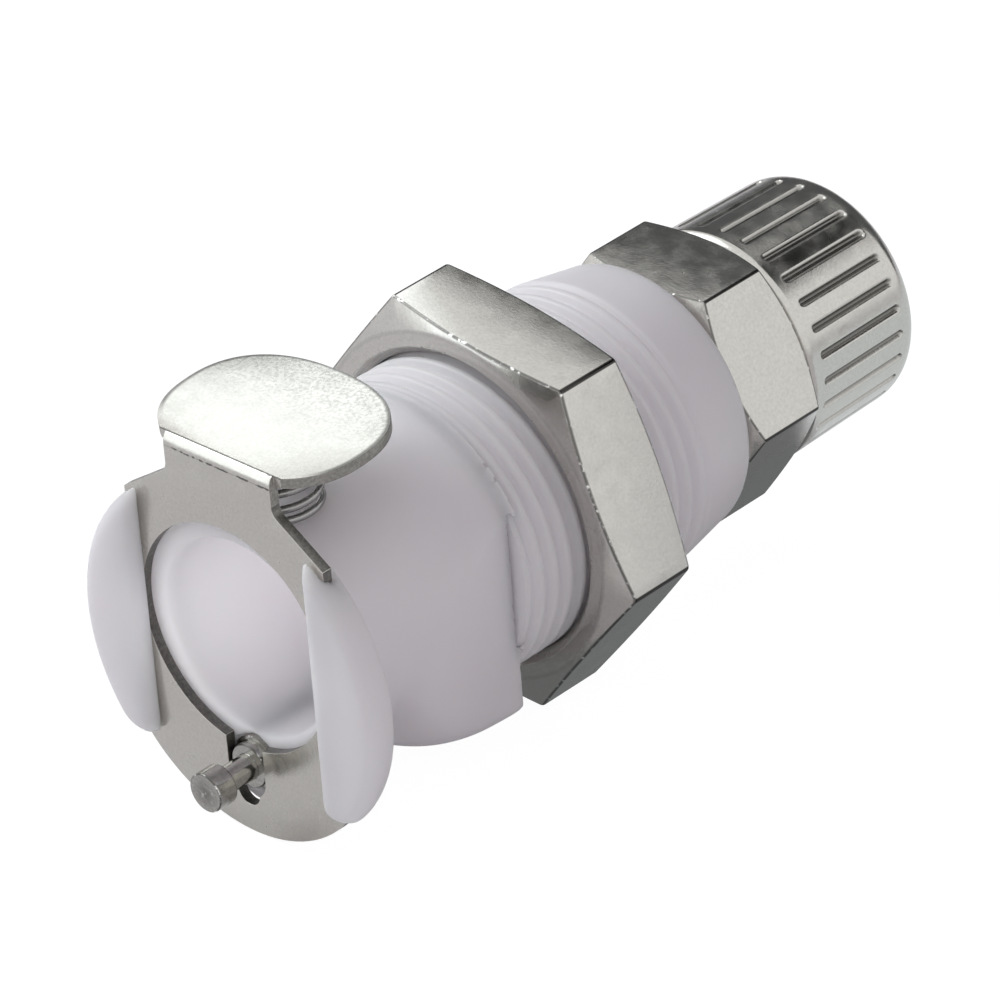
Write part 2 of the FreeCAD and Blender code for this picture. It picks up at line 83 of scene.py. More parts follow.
def pieceFrom(name, mesh):
    # An object at the origin, with doubles merged, poles closed and its faces pointing outwards.
    piece = bpy.data.objects.new(name, mesh)
    bpy.context.scene.collection.objects.link(piece)
    work = bmesh.new()
    work.from_mesh(mesh)
    bmesh.ops.remove_doubles(work, verts=work.verts, dist=1e-7)
    bmesh.ops.dissolve_degenerate(work, edges=work.edges, dist=1e-7)
    bmesh.ops.recalc_face_normals(work, faces=work.faces)
    work.to_mesh(mesh)
    work.free()
    return piece


def smoothShade(piece, sharpDegrees):
    # Smooth shading, with edges past the angle left sharp.
    piece.data.shade_smooth()
    piece.data.set_sharp_from_angle(angle=math.radians(sharpDegrees))


def softLoop(corners, radii, wear, steps):
    # Rounds each corner of a closed outline. Between a point on each side of the corner, at the radius or at
    # just under half the side, runs the quadratic curve (1-t)^2 A + 2t(1-t) C + t^2 B.
    # corners is (..., corner, 2), radii and wear are one per corner. Gives (..., corner * steps, 2) and a mask
    # that is the wear times 1 - (2t-1)^2.
    before = np.roll(corners, 1, axis=-2) - corners
    after = np.roll(corners, -1, axis=-2) - corners
    beforeLength = np.linalg.norm(before, axis=-1, keepdims=True) + 1e-9
    afterLength = np.linalg.norm(after, axis=-1, keepdims=True) + 1e-9
    reach = np.asarray(radii, float)[:, None]
    start = corners + before / beforeLength * np.minimum(reach, 0.46 * beforeLength)
    end = corners + after / afterLength * np.minimum(reach, 0.46 * afterLength)
    t = np.linspace(0, 1, steps)[:, None]
    curve = ((1 - t) ** 2 * start[..., None, :] + 2 * t * (1 - t) * corners[..., None, :]
             + t ** 2 * end[..., None, :])
    shape = corners.shape[:-2] + (corners.shape[-2] * steps, 2)
    middle = 1 - (2 * np.linspace(0, 1, steps) - 1) ** 2
    mask = np.ones(corners.shape[:-1] + (1,)) * np.asarray(wear, float)[:, None] * middle
    return curve.reshape(shape), mask.reshape(shape[:-1])


def roundAxis(radius, y, angle, centreZ=0.0):
    # Points round the Y axis: x = r sin(a), z = centre + r cos(a). y has one row per ring.
    return np.stack([radius * np.sin(angle), y + 0 * radius * angle, centreZ + radius * np.cos(angle)], axis=-1)


def turnedPiece(name, corners, radii, centreZ=0.0, steps=6, around=160):
    # A closed (radius, y) outline with soft corners, carried round the Y axis.
    outline, mask = softLoop(np.array(corners, float), radii, np.ones(len(radii)), steps)
    angle = np.linspace(0, 2 * math.pi, around, endpoint=False)
    points = roundAxis(outline[:, :1], outline[:, 1:], angle, centreZ)
    return gridPiece(name, points, alongClosed=True, masks={"edgeNear": np.repeat(mask[:, None], around, axis=1)})


def roundedHex(acrossFlats, cornerRadius, turnDegrees, sideSteps=22, cornerSteps=7):
    # The ring of points (x, z) round a hexagon with rounded corners. Corner k is the arc
    # centre + radius (cos a, sin a) with a from 60k - 30 to 60k + 30, and the sides join the arcs evenly.
    reach = (acrossFlats / 2 - cornerRadius) / math.cos(math.radians(30))
    k = np.arange(6)[:, None]
    middle = np.radians(60 * k + turnDegrees)
    swing = np.radians(np.linspace(-30, 30, cornerSteps))[None, :]
    x = reach * np.cos(middle) + cornerRadius * np.cos(middle + swing)
    z = reach * np.sin(middle) + cornerRadius * np.sin(middle + swing)
    arcs = np.stack([x, z], axis=-1)
    t = np.linspace(0, 1, sideSteps + 2)[1:-1][None, :, None]
    sides = arcs[:, -1:, :] * (1 - t) + np.roll(arcs, -1, axis=0)[:, :1, :] * t
    return np.concatenate([arcs, sides], axis=1).reshape(-1, 2)


def copyOfNode(name, node):
    # A merged copy of a CAD node, as a piece of its own.
    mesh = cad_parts[node].data.copy()
    mesh.name = name
    mesh.materials.clear()
    return pieceFrom(name, mesh)


def applyModifiers(piece):
    # Bakes the modifiers into the mesh.
    graph = bpy.context.evaluated_depsgraph_get()
    graph.update()
    finished = bpy.data.meshes.new_from_object(piece.evaluated_get(graph))
    old = piece.data
    piece.modifiers.clear()
    piece.data = finished
    bpy.data.meshes.remove(old)


def readPoints(mesh):
    # The vertices of a mesh, in millimetres.
    flat = np.empty(len(mesh.vertices) * 3, np.float32)
    mesh.vertices.foreach_get("co", flat)
    return flat.reshape(-1, 3).astype(float) / mm


def writePoints(mesh, points):
    # Puts points in millimetres back on the mesh.
    mesh.vertices.foreach_set("co", (points * mm).astype(np.float32).ravel())
    mesh.update()


def faceValues(mesh):
    # The normal of each face, and its centre in millimetres.
    normals = np.empty(len(mesh.polygons) * 3, np.float32)
    centres = np.empty(len(mesh.polygons) * 3, np.float32)
    mesh.polygons.foreach_get("normal", normals)
    mesh.polygons.foreach_get("center", centres)
    return normals.reshape(-1, 3), centres.reshape(-1, 3) / mm


def relaxed(points, edges, weight, rounds, pull, push):
    # Each round moves a point towards the mean of its neighbours by pull, then away by push, times weight.
    count = np.bincount(edges.ravel(), minlength=len(points))[:, None]
    for step in range(rounds):
        for share in (pull, -push):
            total = np.zeros_like(points)
            for axis in range(3):
                total[:, axis] = (np.bincount(edges[:, 0], points[edges[:, 1], axis], len(points))
                                  + np.bincount(edges[:, 1], points[edges[:, 0], axis], len(points)))
            points = points + weight[:, None] * share * (total / count - points)
    return points


def stepUp(low, high, value):
    # 0 below low, 1 above high and 3t^2 - 2t^3 between them.
    t = np.clip((value - low) / (high - low), 0, 1)
    return t * t * (3 - 2 * t)


# Node trees: shared ways to make a material

def addNode(tree, kind, inputs=None, **settings):
    # A node with its settings. Each input is a socket to link or a plain value.
    made = tree.nodes.new(kind)
    for key, value in settings.items():
        setattr(made, key, value)
    for key, value in (inputs or {}).items():
        if isinstance(value, bpy.types.NodeSocket):
            tree.links.new(value, made.inputs[key])
        else:
            made.inputs[key].default_value = value
    return made


def newGroup(name, inputs, outputs):
    # A node group with named sockets. inputs and outputs map a name to (kind, default).
    group = bpy.data.node_groups.new(name, "ShaderNodeTree")
    for label, (kind, value) in inputs.items():
        socket = group.interface.new_socket(label, in_out="INPUT", socket_type=kind)
        if value is not None:
            socket.default_value = value
    for label, kind in outputs.items():
        group.interface.new_socket(label, in_out="OUTPUT", socket_type=kind)
    entry = addNode(group, "NodeGroupInput")
    leave = addNode(group, "NodeGroupOutput")
    return group, entry, leave


def placeGroup(tree, group, inputs):
    # A node group, placed in a material.
    return addNode(tree, "ShaderNodeGroup", inputs, node_tree=group)


def maths(tree, operation, *values, **settings):
    # The result of one step of arithmetic.
    return addNode(tree, "ShaderNodeMath", dict(enumerate(values)), operation=operation, **settings).outputs[0]


def ramp(tree, value, limits=(0.0, 1.0), ends=(0.0, 1.0)):
    # The first end at the first limit, the second end at the second limit, and even between them.
    return addNode(tree, "ShaderNodeMapRange", {
        "Value": value, "From Min": limits[0], "From Max": limits[1],
        "To Min": ends[0], "To Max": ends[1]}).outputs["Result"]


def mixed(tree, share, first, second, **settings):
    # The first colour where the share is 0. Where it is 1, the second, or with MULTIPLY the product of both.
    return addNode(tree, "ShaderNodeMix", {0: share, "A": first, "B": second},
                   data_type="RGBA", **settings).outputs["Result"]


def newMaterial(name, **sockets):
    # A Principled material with plain values on its sockets, and the object's coordinates.
    material = bpy.data.materials.new(name)
    material.use_nodes = True
    tree = material.node_tree
    shader = tree.nodes["Principled BSDF"]
    for key, value in sockets.items():
        shader.inputs[key].default_value = value
    place = addNode(tree, "ShaderNodeTexCoord").outputs["Object"]
    return material, tree, shader, place


def give(piece, *materials):
    # Puts the materials in the piece's slots, in this order.
    piece.data.materials.clear()
    for material in materials:
        piece.data.materials.append(material)


def makeGrain(coarse=0.16):
    # Grain: a fine noise stretched about its middle by the contrast, as a height, and patches from a noise
    # whose scale is smaller by the factor coarse.
    group, entry, leave = newGroup("tumbledGrain", {
        "Vector": ("NodeSocketVector", None), "Scale": ("NodeSocketFloat", 900.0),
        "Contrast": ("NodeSocketFloat", 1.0)}, {"Height": "NodeSocketFloat", "Patches": "NodeSocketFloat"})
    fine = addNode(group, "ShaderNodeTexNoise", inputs={
        "Vector": entry.outputs["Vector"], "Scale": entry.outputs["Scale"], "Detail": 4.0, "Roughness": 0.65})
    spread = maths(group, "SUBTRACT", fine.outputs["Fac"], 0.5)
    height = maths(group, "MULTIPLY_ADD", spread, entry.outputs["Contrast"], 0.5)
    slow = maths(group, "MULTIPLY", entry.outputs["Scale"], coarse)
    patches = addNode(group, "ShaderNodeTexNoise", inputs={
        "Vector": entry.outputs["Vector"], "Scale": slow, "Detail": 2.0, "Roughness": 0.5})
    group.links.new(height, leave.inputs["Height"])
    group.links.new(patches.outputs["Fac"], leave.inputs["Patches"])
    return group


def makeNicks(soft=0.12):
    # Bright nicks along an edge: the edge attribute times a broken noise, which rises from 0 to 1 between the
    # threshold and the threshold plus soft.
    group, entry, leave = newGroup("edgeNicks", {
        "Vector": ("NodeSocketVector", None), "Scale": ("NodeSocketFloat", 1500.0),
        "Threshold": ("NodeSocketFloat", 0.5)}, {"Mask": "NodeSocketFloat", "Edge": "NodeSocketFloat"})
    near = addNode(group, "ShaderNodeAttribute", attribute_name="edgeNear")
    broken = addNode(group, "ShaderNodeTexNoise", inputs={
        "Vector": entry.outputs["Vector"], "Scale": entry.outputs["Scale"], "Detail": 3.0})
    top = maths(group, "ADD", entry.outputs["Threshold"], soft)
    cut = ramp(group, broken.outputs["Fac"], (entry.outputs["Threshold"], top))
    group.links.new(maths(group, "MULTIPLY", near.outputs["Fac"], cut), leave.inputs["Mask"])
    group.links.new(near.outputs["Fac"], leave.inputs["Edge"])
    return group


def makeScoredLine(core=1.6, breakScale=2600.0, breakRange=(0.45, 0.55)):
    # A broken line along X through a point: core (1 - d / width), held between 0 and 1, where d is the distance
    # in Y and Z. A noise cuts it into pieces.
    group, entry, leave = newGroup("scoredLine", {
        "Vector": ("NodeSocketVector", None), "Centre": ("NodeSocketVector", None),
        "Width": ("NodeSocketFloat", 0.1 * mm), "Breaks": ("NodeSocketFloat", 0.5)}, {"Mask": "NodeSocketFloat"})
    across = addNode(group, "ShaderNodeVectorMath", operation="MULTIPLY", inputs={
        0: entry.outputs["Vector"], 1: (0, 1, 1)})
    away = addNode(group, "ShaderNodeVectorMath", operation="DISTANCE", inputs={
        0: across.outputs["Vector"], 1: entry.outputs["Centre"]})
    line = ramp(group, away.outputs["Value"], (0.0, entry.outputs["Width"]), (core, 0.0))
    broken = addNode(group, "ShaderNodeTexNoise", inputs={
        "Vector": entry.outputs["Vector"], "Scale": breakScale, "Detail": 1.0})
    kept = ramp(group, broken.outputs["Fac"], breakRange, (1.0, 0.0))
    lost = maths(group, "MULTIPLY", kept, entry.outputs["Breaks"])
    group.links.new(maths(group, "SUBTRACT", line, lost, use_clamp=True), leave.inputs["Mask"])
    return group


tumbledGrain = makeGrain()
edgeNicks = makeNicks()
scoredLine = makeScoredLine()

acetalLook = {"colour": (0.92, 0.90, 0.925, 1), "cloud": (0.3, 0.7), "cloudTone": 0.985,
              "roughness": 0.42, "roughSpread": 0.05,
              "subsurface": 1.0, "depth": 2.6 * mm, "depthShares": (1.0, 0.94, 0.92), "refraction": 1.48,
              "waveScale": 160.0, "waveHeight": 0.05 * mm, "skinScale": 1500.0, "skinHeight": 0.004 * mm}


def acetalMaterial(name, look):
    # Moulded acetal: matt skin, very slight waves and a faint cloudiness in the colour.
    material, tree, shader, place = newMaterial(name, **{
        "Subsurface Weight": look["subsurface"], "Subsurface Radius": look["depthShares"],
        "Subsurface Scale": look["depth"], "IOR": look["refraction"]})
    grain = placeGroup(tree, tumbledGrain, {"Vector": place, "Scale": look["skinScale"], "Contrast": 1.0})
    waves = addNode(tree, "ShaderNodeTexNoise", inputs={"Vector": place, "Scale": look["waveScale"], "Detail": 1.0})
    cloud = ramp(tree, waves.outputs["Fac"], look["cloud"])
    clouded = tuple(look["cloudTone"] * c for c in look["colour"][:3]) + (1,)
    tree.links.new(mixed(tree, cloud, clouded, look["colour"]), shader.inputs["Base Color"])
    rough = ramp(tree, grain.outputs["Patches"],
                 ends=(look["roughness"] - look["roughSpread"], look["roughness"] + look["roughSpread"]))
    tree.links.new(rough, shader.inputs["Roughness"])
    skin = addNode(tree, "ShaderNodeBump", inputs={
        "Height": grain.outputs["Height"], "Distance": look["skinHeight"], "Strength": 1.0})
    wave = addNode(tree, "ShaderNodeBump", inputs={
        "Height": waves.outputs["Fac"], "Distance": look["waveHeight"], "Strength": 1.0,
        "Normal": skin.outputs["Normal"]})
    tree.links.new(wave.outputs["Normal"], shader.inputs["Normal"])
    return material


def darkened(material, mask, tone):
    # Multiplies a material's base colour by the tone wherever the mask is 1.
    tree = material.node_tree
    base = tree.nodes["Principled BSDF"].inputs["Base Color"]
    share = ramp(tree, mask, ends=(1.0, tone))
    tree.links.new(mixed(tree, 1.0, base.links[0].from_socket, share, blend_type="MULTIPLY"), base)


# The tone for the grooves of the fluted nut is painted shade there.
platedLook = {"colour": (0.62, 0.605, 0.57, 1), "shade": 0.9, "speckle": (0.25, 0.75),
              "roughness": 0.2, "smoother": 0.06, "rougher": 0.08, "patches": (0.3, 0.7),
              "grainScale": 4600.0, "grainContrast": 1.6, "grainHeight": 0.006 * mm, "grainStrength": 0.6,
              "grooveShadeTone": 0.3, "edgeTone": 0.2, "cornerTone": 0.1, "cornerLine": (0.1, 0.6),
              "nickScale": 2100.0, "nickThreshold": 0.56, "nickColour": (0.95, 0.94, 0.92, 1)}


def platedMaterial(name, look):
    # Tumbled nickel plate: bright grey, a fine grain, soft patches, painted shade in the flutes' grooves, darker
    # edges and corners, and bright nicks along the edges.
    material, tree, shader, place = newMaterial(name, Metallic=1.0)
    grain = placeGroup(tree, tumbledGrain, {
        "Vector": place, "Scale": look["grainScale"], "Contrast": look["grainContrast"]})
    nicks = placeGroup(tree, edgeNicks, {
        "Vector": place, "Scale": look["nickScale"], "Threshold": look["nickThreshold"]})
    speckle = ramp(tree, grain.outputs["Height"], look["speckle"], (look["shade"], 1.0))
    base = shader.inputs["Base Color"]
    tree.links.new(mixed(tree, 1.0, look["colour"], speckle, blend_type="MULTIPLY"), base)
    # Painted shade: the colour is darkened in the grooves of the flutes.
    grooveShade = addNode(tree, "ShaderNodeAttribute", attribute_name="grooveShadeNear")
    darkened(material, grooveShade.outputs["Fac"], look["grooveShadeTone"])
    darkened(material, nicks.outputs["Edge"], look["edgeTone"])
    corner = addNode(tree, "ShaderNodeAttribute", attribute_name="cornerNear")
    darkened(material, ramp(tree, corner.outputs["Fac"], look["cornerLine"]), look["cornerTone"])
    tree.links.new(mixed(tree, nicks.outputs["Mask"], base.links[0].from_socket, look["nickColour"]), base)
    rough = ramp(tree, grain.outputs["Patches"], look["patches"],
                 (look["roughness"] - look["smoother"], look["roughness"] + look["rougher"]))
    tree.links.new(rough, shader.inputs["Roughness"])
    bump = addNode(tree, "ShaderNodeBump", inputs={
        "Height": grain.outputs["Height"], "Distance": look["grainHeight"],
        "Strength": look["grainStrength"]})
    tree.links.new(bump.outputs["Normal"], shader.inputs["Normal"])
    return material


acetalWhite = acetalMaterial("acetalWhite", acetalLook)
valveWhite = acetalMaterial("valveWhite", dict(acetalLook, colour=(0.80, 0.80, 0.82, 1), roughness=0.5))
nickelPlate = platedMaterial("nickelPlate", platedLook)
adapterPlate = platedMaterial("adapterPlate", dict(platedLook, shade=0.87, grainHeight=0.012 * mm))
latchSteel = platedMaterial("latchSteel", dict(platedLook, colour=(0.60, 0.585, 0.545, 1), roughness=0.22))
plateEdge = platedMaterial("plateEdge", dict(platedLook, colour=(0.21, 0.204, 0.19, 1), roughness=0.38, shade=0.6))
padEdge = platedMaterial("padEdge", dict(platedLook, colour=(0.4, 0.39, 0.36, 1), roughness=0.35, shade=0.6))
padRim = platedMaterial("padRim", dict(platedLook, colour=(0.2, 0.19, 0.175, 1), roughness=0.3, shade=0.6))
pinSteel = platedMaterial("pinSteel", dict(platedLook, colour=(0.46, 0.45, 0.42, 1), roughness=0.11, shade=0.75))
springSteel = platedMaterial("springSteel", dict(platedLook, colour=(0.36, 0.355, 0.35, 1), roughness=0.22))

latchMarks = {"bendLine": (0, -16.28 * mm, 13.05 * mm), "bendBreaks": 1.0,
              "creaseLine": (0, -15.86 * mm, 13.9 * mm), "creaseBreaks": 0.3, "width": 0.11 * mm, "lineTone": 0.25,
              "mottleScale": 3900.0, "mottleCut": (0.46, 0.6), "mottleY": (-12.0 * mm, -5.5 * mm),
              "mottleTone": 0.68, "padCentreY": -11.0 * mm, "padHalf": (7.8 * mm, 6.0 * mm), "padPower": 2.35,
              "rimShare": (0.89, 0.95), "rimY": (-15.0 * mm, -13.5 * mm), "rimTone": 0.33}


def markLatch(material):
    # Adds to the latch steel the two press lines of the bend, mottling that grows towards the pad's rear, and
    # the dark rim of the pad, where |x / a|^p + |y / b|^p comes near 1.
    tree = material.node_tree
    place = addNode(tree, "ShaderNodeTexCoord").outputs["Object"]
    for line in ("bend", "crease"):
        score = placeGroup(tree, scoredLine, {
            "Vector": place, "Centre": latchMarks[line + "Line"], "Width": latchMarks["width"],
            "Breaks": latchMarks[line + "Breaks"]})
        darkened(material, score.outputs["Mask"], latchMarks["lineTone"])
    blotches = addNode(tree, "ShaderNodeTexNoise", inputs={
        "Vector": place, "Scale": latchMarks["mottleScale"], "Detail": 3.0, "Roughness": 0.6})
    cut = ramp(tree, blotches.outputs["Fac"], latchMarks["mottleCut"])
    where = addNode(tree, "ShaderNodeSeparateXYZ", inputs={0: place})
    rise = ramp(tree, where.outputs["Y"], latchMarks["mottleY"])
    darkened(material, maths(tree, "MULTIPLY", cut, rise), latchMarks["mottleTone"])
    shares = []
    for axis, centre, half in (("X", 0.0, latchMarks["padHalf"][0]),
                               ("Y", latchMarks["padCentreY"], latchMarks["padHalf"][1])):
        offset = maths(tree, "SUBTRACT", where.outputs[axis], centre)
        share = maths(tree, "DIVIDE", maths(tree, "ABSOLUTE", offset), half)
        shares.append(maths(tree, "POWER", share, latchMarks["padPower"]))
    edge = ramp(tree, maths(tree, "ADD", *shares), latchMarks["rimShare"])
    back = ramp(tree, where.outputs["Y"], latchMarks["rimY"])
    darkened(material, maths(tree, "MULTIPLY", edge, back), latchMarks["rimTone"])


markLatch(latchSteel)

rubberLook = {"tone": (0.012, 0.03), "roughness": (0.45, 0.65), "grainScale": 1800.0, "grainContrast": 1.4,
              "grainHeight": 0.01 * mm, "grainStrength": 0.5}


def rubberMaterial(name, look):
    # Black seal rubber with a dusty skin.
    material, tree, shader, place = newMaterial(name)
    grain = placeGroup(tree, tumbledGrain, {
        "Vector": place, "Scale": look["grainScale"], "Contrast": look["grainContrast"]})
    tree.links.new(ramp(tree, grain.outputs["Patches"], ends=look["tone"]), shader.inputs["Base Color"])
    tree.links.new(ramp(tree, grain.outputs["Height"], ends=look["roughness"]), shader.inputs["Roughness"])
    bump = addNode(tree, "ShaderNodeBump", inputs={
        "Height": grain.outputs["Height"], "Distance": look["grainHeight"], "Strength": look["grainStrength"]})
    tree.links.new(bump.outputs["Normal"], shader.inputs["Normal"])
    return material


sealRubber = rubberMaterial("sealRubber", rubberLook)
print("materials made")


# Body moulding

moulding = {"voxel": 0.262, "rounds": 13, "pull": 0.5, "push": 0.52,
            "blendRounds": 52, "blendStart": -14.9, "blendEnd": -0.9, "blendSoft": 1.0,
            "socketRadius": 7.3, "socketSoft": 0.4, "shankStart": 0.15, "shankInner": 9.55,
            "flatX": 9.0, "flatStart": -8.0, "flatEnd": -0.25, "flatTop": 4.9, "flatTuck": 0.6}


def bodyMoulding():
    # The moulded body: the CAD shape remeshed evenly, its edges relaxed, and its outside between the wings
    # and the flange relaxed more, for the soft blends. The shank sinks a little under its thread. Ahead of it
    # x is held between two flats, and the wall behind them is tucked into the threaded sleeve.
    size = moulding
    piece = copyOfNode("bodyMoulding", "body")
    remesh = piece.modifiers.new("evenMesh", "REMESH")
    remesh.mode = "VOXEL"
    remesh.voxel_size = size["voxel"] * mm
    applyModifiers(piece)
    mesh = piece.data
    points = readPoints(mesh)
    edges = np.empty(len(mesh.edges) * 2, np.int32)
    mesh.edges.foreach_get("vertices", edges)
    edges = edges.reshape(-1, 2)
    points = relaxed(points, edges, np.ones(len(points)), size["rounds"], size["pull"], size["push"])
    radius = np.hypot(points[:, 0], points[:, 2])
    y = points[:, 1]
    blend = stepUp(size["blendStart"], size["blendStart"] + size["blendSoft"], y)
    blend = blend * (1 - stepUp(size["blendEnd"] - size["blendSoft"], size["blendEnd"], y))
    blend = blend * stepUp(size["socketRadius"], size["socketRadius"] + size["socketSoft"], radius)
    points = relaxed(points, edges, blend, size["blendRounds"], size["pull"], 0.0)
    radius = np.hypot(points[:, 0], points[:, 2])
    onShank = (points[:, 1] > size["shankStart"]) & (radius > size["shankInner"])
    squeeze = np.where(onShank, size["shankInner"] / radius, 1.0)
    points[:, 0] *= squeeze
    points[:, 2] *= squeeze
    x, y, z = points.T
    ahead = (y > size["flatStart"]) & (y < size["flatEnd"])
    points[ahead, 0] = np.clip(x[ahead], -size["flatX"], size["flatX"])
    wallX = size["flatX"] - size["flatTuck"]
    behind = (y >= size["flatEnd"]) & (y < size["shankStart"]) & (np.abs(z) < size["flatTop"])
    behind = behind & (np.abs(x) > wallX)
    points[behind, 0] = np.sign(x[behind]) * wallX
    writePoints(mesh, points)
    smoothShade(piece, sharpDegrees=50)
    give(piece, acetalWhite)
    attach(piece, "coupling_body")
    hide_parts("body")


thread = {"crest": 10.6, "root": 10.08, "pitch": 1.27, "rise": (0.06, 0.40), "fall": (0.60, 0.94),
          "start": -0.16, "lead": 0.5, "fadeStart": 15.0, "fadeEnd": 17.6, "taperLead": 1.0,
          "tailRadius": 9.65, "end": 22.0, "endRound": 0.4, "endWall": 0.1, "inner": 6.7,
          "rows": 250, "tailRows": 14, "roundRows": 6, "around": 256}


def shankThread():
    # The threaded sleeve. Its radius is root + depth w(phase), where phase = y / pitch - angle / turn and w
    # is a flat-topped wave. The depth fades in at the start and out before the tail, which narrows evenly
    # to a rounded end.
    size = thread
    tailEnd = size["end"] - size["endRound"]
    y = np.concatenate([np.linspace(size["start"], size["fadeEnd"], size["rows"]),
                        np.linspace(size["fadeEnd"], tailEnd, size["tailRows"])[1:]])
    angle = np.linspace(0, 2 * math.pi, size["around"], endpoint=False)
    yGrid, aGrid = np.meshgrid(y, angle, indexing="ij")
    phase = (yGrid / size["pitch"] - aGrid / (2 * math.pi)) % 1.0
    wave = stepUp(*size["rise"], phase) * (1 - stepUp(*size["fall"], phase))
    taperStart = size["fadeEnd"] - size["taperLead"]
    crest = size["crest"] - (size["crest"] - size["tailRadius"]) * np.clip(
        (yGrid - taperStart) / (size["end"] - taperStart), 0, 1)
    lead = stepUp(size["start"], size["start"] + size["lead"], yGrid)
    depth = (size["crest"] - size["root"]) * (1 - stepUp(size["fadeStart"], size["fadeEnd"], yGrid)) * lead
    radius = size["root"] * (1 - lead) + (crest - depth * (1 - wave)) * lead
    bend = np.radians(np.linspace(0, 90, size["roundRows"]))[1:]
    endRadius = size["tailRadius"] - size["endRound"] * (1 - np.cos(bend))
    endY = size["end"] - size["endRound"] * (1 - np.sin(bend))
    ring = np.concatenate([radius, np.repeat(endRadius[:, None], size["around"], axis=1),
                           np.full((2, size["around"]), size["inner"])], axis=0)
    along = np.concatenate([y, endY, [size["end"] - size["endWall"], size["start"]]])
    piece = gridPiece("shankThread", roundAxis(ring, along[:, None], angle), alongClosed=True)
    smoothShade(piece, sharpDegrees=60)
    give(piece, acetalWhite)
    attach(piece, "coupling_body")


bodyMoulding()
shankThread()
print("body made")


# Latch

latch = {"flatAngle": 0.5, "edgeRound": 0.09, "segments": 3, "roundedAngle": 30.0, "bendLine": 13.0,
         "cutNormal": 0.5, "sideNormal": 0.4, "padBack": -15.3,
         "rimStart": -15.7, "rimLow": 13.3, "rimNormal": (0.25, 0.93)}


def thumbLatch():
    # The stamped latch: the CAD shape with its edges rounded a little. The cut edges of its plate, those of
    # its pad and the pad's rounded rim have their own finish, and are told apart by their place and normal.
    piece = copyOfNode("thumbLatch", "thumb_latch")
    work = bmesh.new()
    work.from_mesh(piece.data)
    bmesh.ops.dissolve_limit(work, angle_limit=math.radians(latch["flatAngle"]), verts=work.verts, edges=work.edges)
    work.to_mesh(piece.data)
    work.free()
    normals, centres = faceValues(piece.data)
    lower = centres[:, 2] < latch["bendLine"]
    plateCut = lower & (np.abs(normals[:, 1]) < latch["cutNormal"])
    padCut = ~lower & (np.abs(normals[:, 0]) > latch["sideNormal"])
    padBack = ~lower & (centres[:, 1] > latch["padBack"]) & (np.abs(normals[:, 2]) < latch["cutNormal"])
    give(piece, latchSteel, plateEdge, padEdge, padRim)
    kind = np.where(plateCut, 1, np.where(padCut | padBack, 2, 0))
    piece.data.polygons.foreach_set("material_index", kind.astype(np.int32))
    bevel = piece.modifiers.new("edges", "BEVEL")
    bevel.width = latch["edgeRound"] * mm
    bevel.segments = latch["segments"]
    bevel.limit_method = "ANGLE"
    bevel.angle_limit = math.radians(latch["roundedAngle"])
    bevel.material = 0
    applyModifiers(piece)
    normals, centres = faceValues(piece.data)
    kind = np.empty(len(normals), np.int32)
    piece.data.polygons.foreach_get("material_index", kind)
    steepest, flattest = latch["rimNormal"]
    rim = (centres[:, 2] > latch["rimLow"]) & (centres[:, 1] > latch["rimStart"])
    kind[rim & (normals[:, 2] > steepest) & (normals[:, 2] < flattest)] = 3
    piece.data.polygons.foreach_set("material_index", kind)
    smoothShade(piece, sharpDegrees=35)
    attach(piece, "latch")
    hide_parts("thumb_latch")


pin = {"axisZ": -9.2, "headRadius": 1.38, "headLength": 1.55, "neckRadius": 0.9, "collarRadius": 1.55,
       "collarLength": 0.66, "shoulderRadius": 1.85, "shoulderLength": 5.44, "edge": 0.12, "corner": 0.05}


def lockPin():
    # The lock pin, turned: head, neck, collar and shoulder.
    low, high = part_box("lock_pin")
    front, rear = low.y / mm, high.y / mm
    head, neck, collar, shoulder = (pin[key + "Radius"] for key in ("head", "neck", "collar", "shoulder"))
    headRear = front + pin["headLength"]
    shoulderFront = rear - pin["shoulderLength"]
    collarFront = shoulderFront - pin["collarLength"]
    corners = [(0, front), (head, front), (head, headRear), (neck, headRear), (neck, collarFront),
               (collar, collarFront), (collar, shoulderFront), (shoulder, shoulderFront), (shoulder, rear), (0, rear)]
    edge, corner = pin["edge"], pin["corner"]
    radii = [0, edge, edge, corner, corner, edge, corner, corner, edge, 0]
    piece = turnedPiece("lockPin", corners, radii, centreZ=pin["axisZ"], around=64)
    smoothShade(piece, sharpDegrees=50)
    give(piece, pinSteel)
    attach(piece, "pin")
    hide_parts("lock_pin")


coils = {"latchSpring": {"radius": 2.75, "wire": 0.55, "turns": 5.2, "axis": "z", "centre": (0, -11.3),
                         "startTurn": 0.45},
         "lockPinSpring": {"radius": 1.3, "wire": 0.36, "turns": 8.0, "axis": "y", "centre": (0, -9.2),
                           "startTurn": 0.0},
         "valveSpring": {"radius": 3.75, "wire": 0.7, "turns": 7.0, "axis": "y", "centre": (0, 0),
                         "startTurn": 0.0}}


